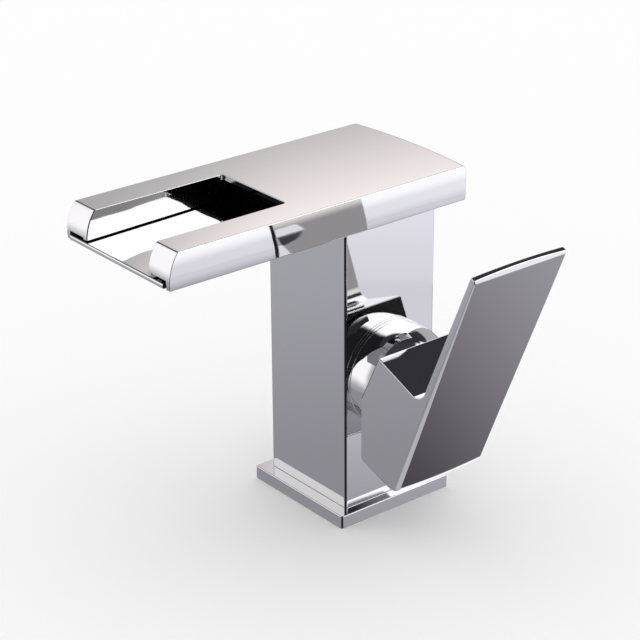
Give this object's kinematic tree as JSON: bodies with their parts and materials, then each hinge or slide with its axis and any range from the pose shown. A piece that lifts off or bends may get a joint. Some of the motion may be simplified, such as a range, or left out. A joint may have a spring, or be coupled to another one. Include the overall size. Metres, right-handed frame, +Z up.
{
  "type": "single-lever basin tap",
  "caption": "Square chromed basin tap with a flat spout, open along its front so that water runs over a tray, and a V-shaped lever on a domed side bonnet.",
  "frame": {"origin": "centre of the flange's underside, on the wash-basin's deck", "axes": "+Z up, the spout points to -Y, the lever is on the +X side"},
  "size_m": [0.1261, 0.1398, 0.1379],
  "materials": {
    "chrome": "polished",
    "brass": "machined",
    "steel": "turned",
    "rubber": "matt",
    "ceramic": "lapped",
    "resin": "moulded",
    "dark_resin": "moulded"
  },
  "bodies": {
    "root": {"base_flange": "chrome", "base_gasket": "rubber", "column_body": "chrome", "valve_body": "brass", "deck_shell": "chrome", "spout_tray": "chrome", "tray_screws": "steel", "tray_seal": "rubber", "flow_straightener": "dark_resin", "outlet_nipple": "brass", "nipple_o_ring": "rubber", "tie_bolts": "steel", "cartridge_housing": "resin", "cartridge_base": "resin", "port_seals": "rubber", "fixed_disc": "ceramic", "retaining_nut": "brass", "bonnet": "chrome", "bonnet_seat_ring": "chrome"},
    "rotor": {"rotor": "resin", "thrust_ring": "dark_resin", "pivot_pin": "steel"},
    "discs": {"disc_carrier": "dark_resin", "sliding_disc": "ceramic"},
    "lever": {"spindle": "brass", "handle": "chrome", "set_screw": "steel", "screw_plug": "chrome"}
  },
  "joints": [
    {"name": "temperature_turn", "type": "hinge", "parent": "root", "child": "rotor", "pos_m": [0.028, 0, 0.0585], "axis": [1, 0, 0], "range_deg": [-45, 45]},
    {"name": "flow_tilt", "type": "hinge", "parent": "rotor", "child": "lever", "pos_m": [0.028, 0, 0.0585], "axis": [0, 1, 0], "range_deg": [0, 16]},
    {"name": "disc_lift", "type": "slide", "parent": "rotor", "child": "discs", "axis": [0, 0, 1], "range_m": [0, 0.0048]}
  ],
  "couplings": [
    {"joint": "disc_lift", "follows": "flow_tilt", "m_per_rad": 0.017}
  ]
}
